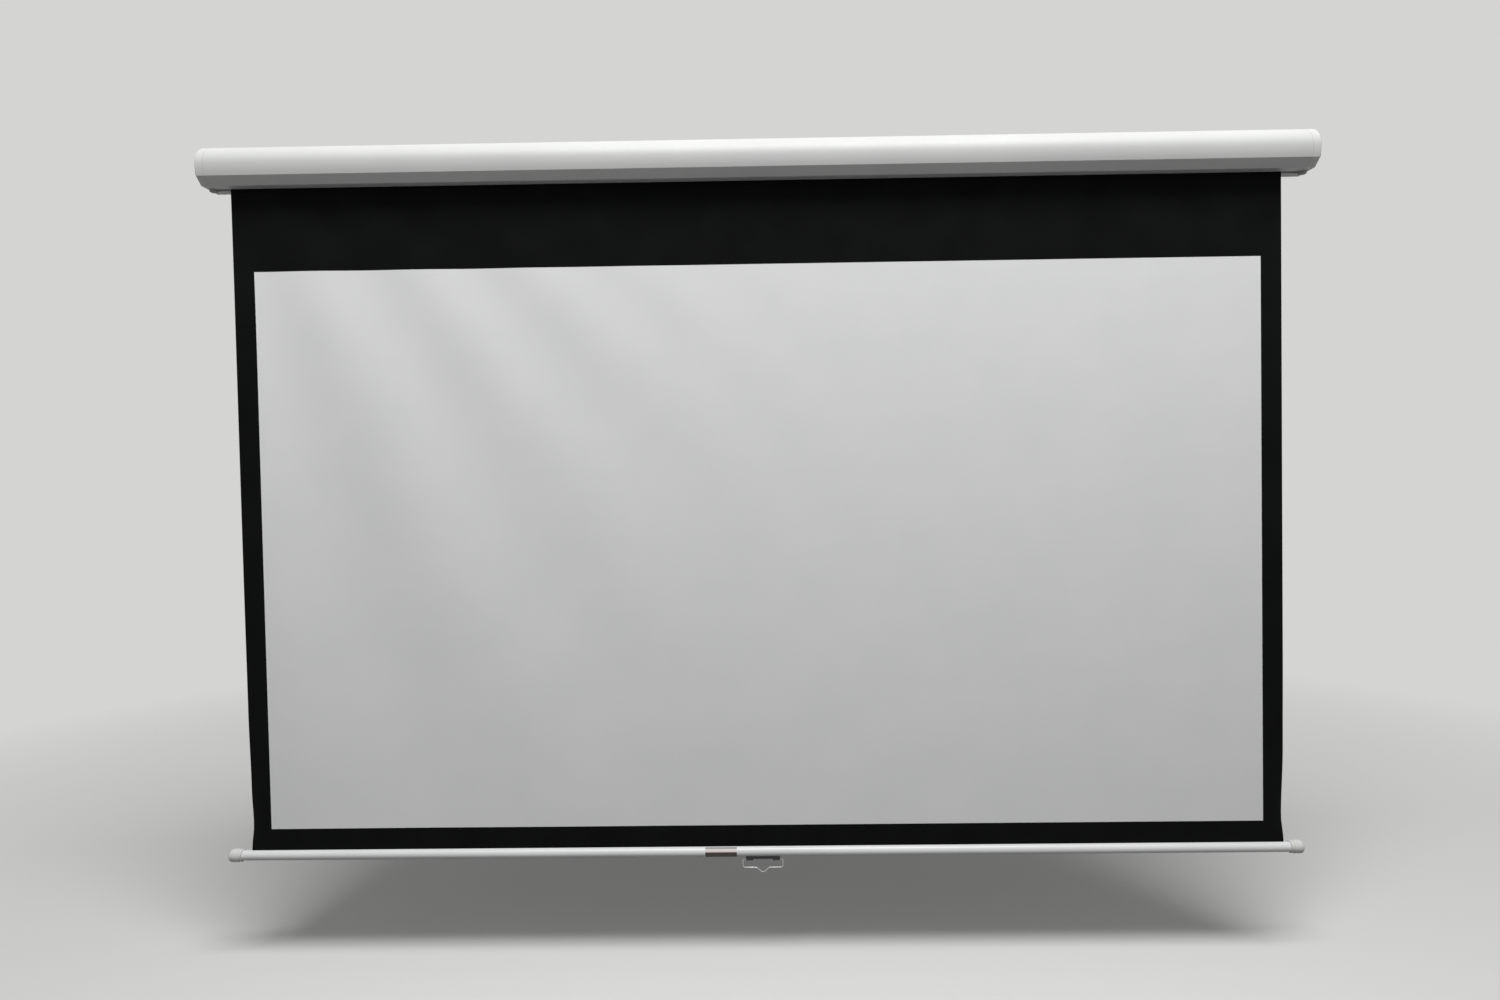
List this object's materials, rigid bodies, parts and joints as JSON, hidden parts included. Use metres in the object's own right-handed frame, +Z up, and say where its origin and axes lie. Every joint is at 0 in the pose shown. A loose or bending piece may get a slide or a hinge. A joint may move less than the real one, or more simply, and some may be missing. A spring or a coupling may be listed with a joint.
{
  "type": "pull down projector screen",
  "caption": "Wall-hung case with a spring roller, a white cloth with black borders, and a round bottom bar with a wire pull.",
  "frame": {"origin": "middle of the case's flat back, where it meets the wall", "axes": "+X along the case, to the right as the viewer faces the screen; +Y into the wall; +Z up"},
  "size_m": [2.412, 0.075, 1.6204],
  "materials": {
    "white_paint": "satin",
    "white_plastic": "satin",
    "black_paint": "satin",
    "screen_cloth": "matte",
    "black_cloth": "matte",
    "zinc_steel": "satin",
    "dark_steel": "satin",
    "bright_chrome": "polished",
    "aluminium": "satin",
    "natural_nylon": "matte",
    "dark_nylon": "matte",
    "grey_rubber": "matte",
    "blank_label": "matte"
  },
  "bodies": {
    "case": {"case_shell": "white_paint", "end_cap_left": "white_plastic", "end_cap_right": "white_plastic", "cap_screw_left_top": "zinc_steel", "cap_screw_left_bottom": "zinc_steel", "cap_screw_right_top": "zinc_steel", "cap_screw_right_bottom": "zinc_steel", "hanger_plate_left": "zinc_steel", "hanger_plate_right": "zinc_steel", "bar_stop_left": "grey_rubber", "bar_stop_right": "grey_rubber", "roller_bracket_left": "zinc_steel", "roller_bracket_right": "zinc_steel", "bracket_screw_left_upper": "zinc_steel", "bracket_screw_left_lower": "zinc_steel", "bracket_screw_right_upper": "zinc_steel", "bracket_screw_right_lower": "zinc_steel", "spring_shaft": "dark_steel", "stop_collar": "dark_steel", "collar_pin": "zinc_steel", "spring_anchor": "aluminium", "anchor_pin": "zinc_steel", "idle_bush": "natural_nylon", "torsion_spring": "dark_steel", "screen_fabric": "screen_cloth"},
    "roller": {"roller_tube": "aluminium", "drive_hub": "dark_nylon", "idle_plug": "dark_nylon", "gudgeon_pin": "zinc_steel", "shaft_bush": "natural_nylon", "pawl_pin_upper": "zinc_steel", "pawl_pin_lower": "zinc_steel", "fabric_roll": "black_cloth"},
    "upper_pawl": {"pawl_upper": "zinc_steel"},
    "lower_pawl": {"pawl_lower": "zinc_steel"},
    "bar": {"slat_bar": "white_paint", "bar_cap_left": "white_plastic", "bar_cap_right": "white_plastic", "hem_rod": "zinc_steel", "fabric_hem": "black_cloth", "bar_label": "blank_label", "handle_bracket": "black_paint", "handle_screw_left": "dark_steel", "handle_screw_right": "dark_steel"},
    "pull": {"pull_bail": "bright_chrome"}
  },
  "joints": [
    {"name": "screen_travel", "type": "slide", "parent": "case", "child": "bar", "axis": [0, 0, 1], "range_m": [0, 1.465], "deforming": ["screen_fabric"]},
    {"name": "roller_spin", "type": "hinge", "parent": "case", "child": "roller", "pos_m": [0, -0.04795, 0], "axis": [1, 0, 0], "range_deg": [0, 3960]},
    {"name": "upper_pawl_swing", "type": "hinge", "parent": "roller", "child": "upper_pawl", "pos_m": [-1.1855, -0.03484, 0.00918], "axis": [1, 0, 0], "range_deg": [-22, 0]},
    {"name": "lower_pawl_swing", "type": "hinge", "parent": "roller", "child": "lower_pawl", "pos_m": [-1.1855, -0.06106, -0.00918], "axis": [1, 0, 0], "range_deg": [0, 22]},
    {"name": "pull_swing", "type": "hinge", "parent": "bar", "child": "pull", "pos_m": [0, -0.0285, -1.54665], "axis": [1, 0, 0], "range_deg": [-90, 70]}
  ],
  "couplings": [
    {"joint": "roller_spin", "follows": "screen_travel", "rad_per_m": 47.173}
  ]
}
